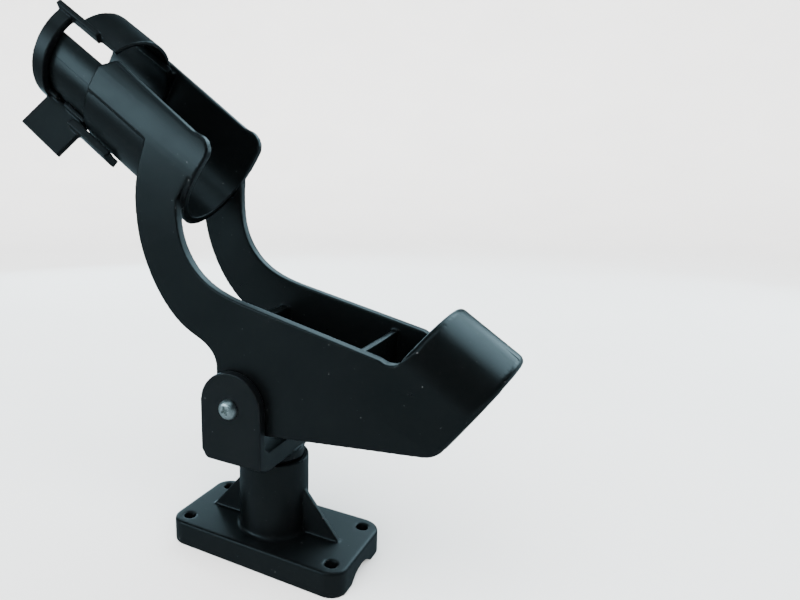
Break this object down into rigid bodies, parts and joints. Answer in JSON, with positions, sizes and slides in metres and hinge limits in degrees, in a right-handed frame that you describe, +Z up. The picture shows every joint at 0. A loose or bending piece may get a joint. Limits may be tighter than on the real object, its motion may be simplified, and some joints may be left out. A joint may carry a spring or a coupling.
{
  "type": "rod holder",
  "caption": "Adjustable boat rod holder: screw-down deck base, swivelling yoke and a tilting open cradle with a turning lock collar and a hooded butt pocket.",
  "frame": {"origin": "centre of the screw pattern on the underside of the deck base, on the swivel stem's axis", "axes": "+Z up along the stem, +X along the long side of the base towards the hooded butt end, +Y across along the tilt pin"},
  "size_m": [0.2554, 0.0829, 0.2778],
  "materials": {
    "base_plastic": "satin black glass-filled plastic",
    "yoke_plastic": "satin black glass-filled plastic",
    "cradle_plastic": "satin black glass-filled plastic",
    "collar_plastic": "satin black glass-filled plastic",
    "stainless_steel": "bright stainless steel",
    "nylon": "plain black nylon"
  },
  "bodies": {
    "base": {"deck_base": "base_plastic"},
    "swivel": {"yoke": "yoke_plastic", "pivot_screw": "stainless_steel", "pivot_nut": "stainless_steel", "nut_insert": "nylon", "pivot_washer": "stainless_steel"},
    "tilt": {"cradle": "cradle_plastic", "pivot_sleeve": "stainless_steel", "friction_disc_near": "nylon", "friction_disc_far": "nylon"},
    "collar": {"lock_collar": "collar_plastic"}
  },
  "joints": [
    {"name": "yoke_swivel", "type": "hinge", "parent": "base", "child": "swivel", "pos_m": [0, 0, 0.05], "axis": [0, 0, 1], "continuous": true},
    {"name": "cradle_tilt", "type": "hinge", "parent": "swivel", "child": "tilt", "pos_m": [-0.0025, 0, 0.085], "axis": [0, 1, 0], "range_deg": [-40, 20]},
    {"name": "collar_turn", "type": "hinge", "parent": "tilt", "child": "collar", "pos_m": [-0.0463, 0, 0.203], "axis": [0.8121, 0, -0.5835], "range_deg": [0, 112]}
  ]
}
